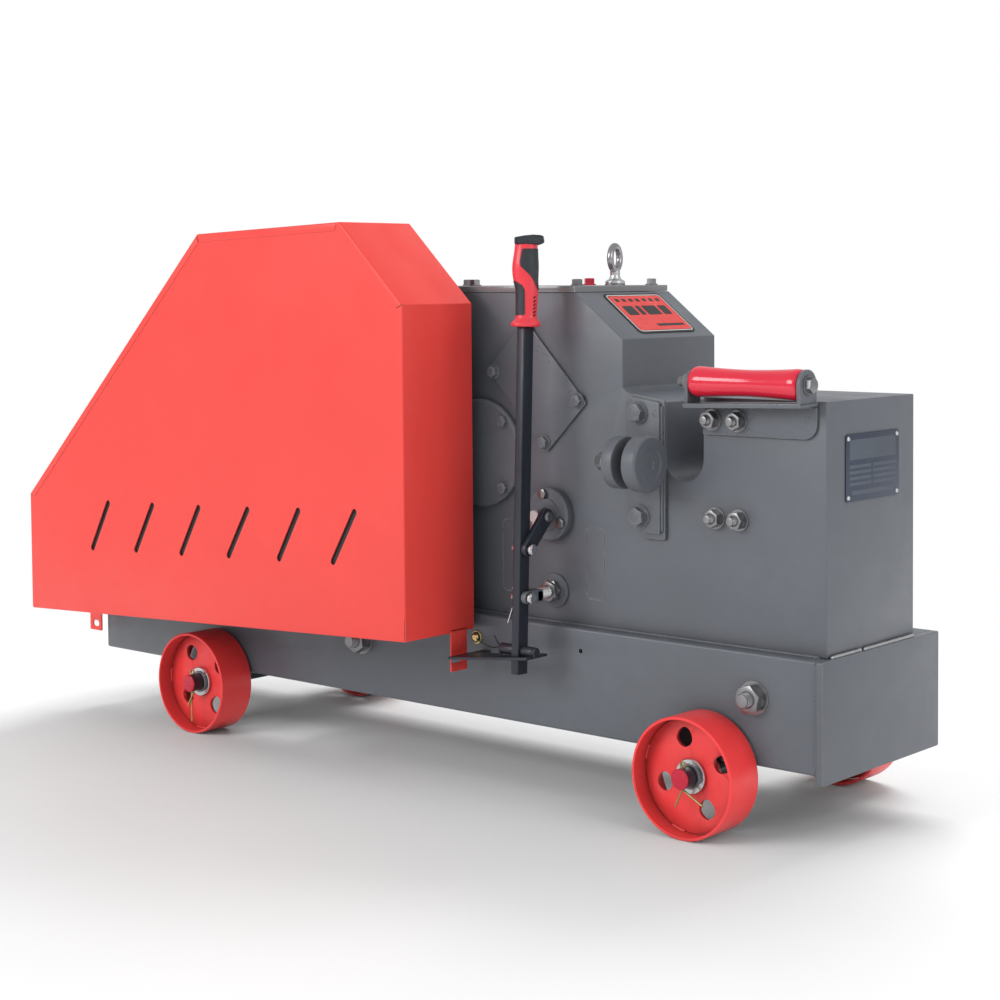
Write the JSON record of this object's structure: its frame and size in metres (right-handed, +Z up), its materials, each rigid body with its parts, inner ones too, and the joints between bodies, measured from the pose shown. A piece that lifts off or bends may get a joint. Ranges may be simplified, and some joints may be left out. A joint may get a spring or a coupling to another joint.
{
  "type": "rebar cutter",
  "caption": "Electric rebar cutting machine: wheeled chassis, belt-driven gearbox, crank-driven ram with shear blades, hand clutch lever, bar stop and guide roller.",
  "frame": {"origin": "centre of the overall footprint, on the ground", "axes": "+X along the chassis towards the cutting jaw and end plate, -Y the operator's side with lever and belt guard, +Z up"},
  "size_m": [1.3142, 0.4536, 0.7135],
  "materials": {
    "grey_paint": "semi-gloss enamel",
    "red_coat": "powder coat",
    "red_gloss": "glossy enamel",
    "black_steel": "blued",
    "bright_steel": "zinc plated and machined",
    "tool_steel": "hardened and ground",
    "cast_iron": "as cast",
    "bronze": "machined",
    "belt_rubber": "matte",
    "motor_paint": "enamel",
    "grip_plastic": "moulded",
    "label_print": "printed",
    "rating_metal": "printed"
  },
  "bodies": {
    "root": {"chassis_frame": "grey_paint", "end_plate": "grey_paint", "front_axle": "red_coat", "rear_axle": "red_coat", "gearbox_housing": "grey_paint", "housing_top_cover": "grey_paint", "round_bearing_cover": "grey_paint", "crank_end_cap": "grey_paint", "gear_shaft_cover": "grey_paint", "inspection_plate": "grey_paint", "clutch_flange": "grey_paint", "pull_rod_guide": "bright_steel", "crank_bush_near": "bronze", "crank_bush_far": "bronze", "input_bearing_near": "bright_steel", "input_bearing_far": "bright_steel", "fixed_blade": "tool_steel", "lever_pivot_bracket": "black_steel", "lever_pivot_pin": "bright_steel", "stop_plate": "grey_paint", "stop_lock_nut": "bright_steel", "roller_bracket": "grey_paint", "roller_axle_bolt": "bright_steel", "v_belt_inner": "belt_rubber", "v_belt_outer": "belt_rubber", "motor_stator_frame": "motor_paint", "motor_end_shield": "motor_paint", "motor_fan_cowl": "motor_paint", "motor_terminal_box": "motor_paint", "motor_base": "grey_paint", "belt_guard": "red_coat", "lifting_eye": "bright_steel", "front_label": "label_print", "rating_plate": "rating_metal"},
    "flywheel_shaft": {"input_pinion_shaft": "bright_steel", "flywheel": "cast_iron"},
    "motor_rotor": {"motor_rotor": "bright_steel", "motor_pulley": "cast_iron", "motor_fan": "black_steel"},
    "intermediate_shaft": {"intermediate_pinion_shaft": "bright_steel", "intermediate_gear": "tool_steel"},
    "crank_gear": {"crank_gear": "tool_steel"},
    "crankshaft": {"crankshaft": "bright_steel"},
    "sliding_block": {"sliding_block": "bronze"},
    "ram": {"ram": "tool_steel", "moving_blade": "tool_steel"},
    "clutch_collar": {"clutch_collar": "tool_steel"},
    "clutch_lever": {"clutch_lever": "black_steel", "lever_grip": "grip_plastic"},
    "clutch_shift": {"clutch_shift_rod": "bright_steel", "clutch_link": "black_steel", "clutch_fork": "cast_iron"},
    "pull_rod": {"pull_rod": "bright_steel"},
    "stop_screw": {"stop_screw": "bright_steel", "stop_disc": "grey_paint"},
    "guide_roller": {"guide_roller": "red_gloss"},
    "wheel_front_near": {"wheel_front_near": "red_coat"},
    "wheel_front_far": {"wheel_front_far": "red_coat"},
    "wheel_rear_near": {"wheel_rear_near": "red_coat"},
    "wheel_rear_far": {"wheel_rear_far": "red_coat"}
  },
  "joints": [
    {"name": "flywheel_spin", "type": "hinge", "parent": "root", "child": "flywheel_shaft", "pos_m": [-0.08941, 0.0376, 0.44931], "axis": [0, 1, 0], "continuous": true},
    {"name": "motor_spin", "type": "hinge", "parent": "root", "child": "motor_rotor", "pos_m": [-0.46245, 0.0376, 0.326], "axis": [0, 1, 0], "continuous": true},
    {"name": "intermediate_spin", "type": "hinge", "parent": "root", "child": "intermediate_shaft", "pos_m": [-0.0088, 0.0376, 0.3687], "axis": [0, 1, 0], "continuous": true},
    {"name": "crank_gear_spin", "type": "hinge", "parent": "root", "child": "crank_gear", "pos_m": [0.13215, 0.0376, 0.42], "axis": [0, 1, 0], "continuous": true},
    {"name": "crank_turn", "type": "hinge", "parent": "root", "child": "crankshaft", "pos_m": [0.13215, 0.0376, 0.42], "axis": [0, 1, 0], "range_deg": [0, 180]},
    {"name": "block_swivel", "type": "hinge", "parent": "crankshaft", "child": "sliding_block", "pos_m": [0.10815, 0.0376, 0.42], "axis": [0, 1, 0], "range_deg": [-180, 0]},
    {"name": "ram_stroke", "type": "slide", "parent": "root", "child": "ram", "axis": [1, 0, 0], "range_m": [0, 0.048]},
    {"name": "lever_swing", "type": "hinge", "parent": "root", "child": "clutch_lever", "pos_m": [0.25255, -0.1404, 0.1886], "axis": [1, 0, 0], "range_deg": [0, 7]},
    {"name": "shift_rod_slide", "type": "slide", "parent": "root", "child": "clutch_shift", "axis": [0, -1, 0], "range_m": [0, 0.01515]},
    {"name": "collar_slide", "type": "slide", "parent": "crankshaft", "child": "clutch_collar", "axis": [0, -1, 0], "range_m": [0, 0.01515]},
    {"name": "pull_rod_slide", "type": "slide", "parent": "root", "child": "pull_rod", "axis": [0, -1, 0], "range_m": [0, 0.008]},
    {"name": "stop_screw_feed", "type": "slide", "parent": "root", "child": "stop_screw", "axis": [1, 0, 0], "range_m": [-0.0115, 0.02]},
    {"name": "guide_roller_spin", "type": "hinge", "parent": "root", "child": "guide_roller", "pos_m": [0.55895, -0.0924, 0.5218], "axis": [1, 0, 0], "continuous": true},
    {"name": "wheel_front_near_spin", "type": "hinge", "parent": "root", "child": "wheel_front_near", "pos_m": [0.50345, -0.1221, 0.0711], "axis": [0, 1, 0], "continuous": true},
    {"name": "wheel_front_far_spin", "type": "hinge", "parent": "root", "child": "wheel_front_far", "pos_m": [0.50345, 0.1973, 0.0711], "axis": [0, 1, 0], "continuous": true},
    {"name": "wheel_rear_near_spin", "type": "hinge", "parent": "root", "child": "wheel_rear_near", "pos_m": [-0.36635, -0.1221, 0.0711], "axis": [0, 1, 0], "continuous": true},
    {"name": "wheel_rear_far_spin", "type": "hinge", "parent": "root", "child": "wheel_rear_far", "pos_m": [-0.36635, 0.1973, 0.0711], "axis": [0, 1, 0], "continuous": true}
  ],
  "couplings": [
    {"joint": "motor_spin", "follows": "flywheel_spin", "ratio": 3.9808},
    {"joint": "intermediate_spin", "follows": "flywheel_spin", "ratio": -0.26667},
    {"joint": "crank_gear_spin", "follows": "flywheel_spin", "ratio": 0.066667},
    {"joint": "block_swivel", "follows": "crank_turn", "ratio": -1},
    {"joint": "ram_stroke", "follows": "crank_turn", "m_per_rad": 0.015279},
    {"joint": "shift_rod_slide", "follows": "lever_swing", "m_per_rad": 0.1239},
    {"joint": "collar_slide", "follows": "lever_swing", "m_per_rad": 0.1239},
    {"joint": "pull_rod_slide", "follows": "lever_swing", "m_per_rad": 0.0654}
  ]
}
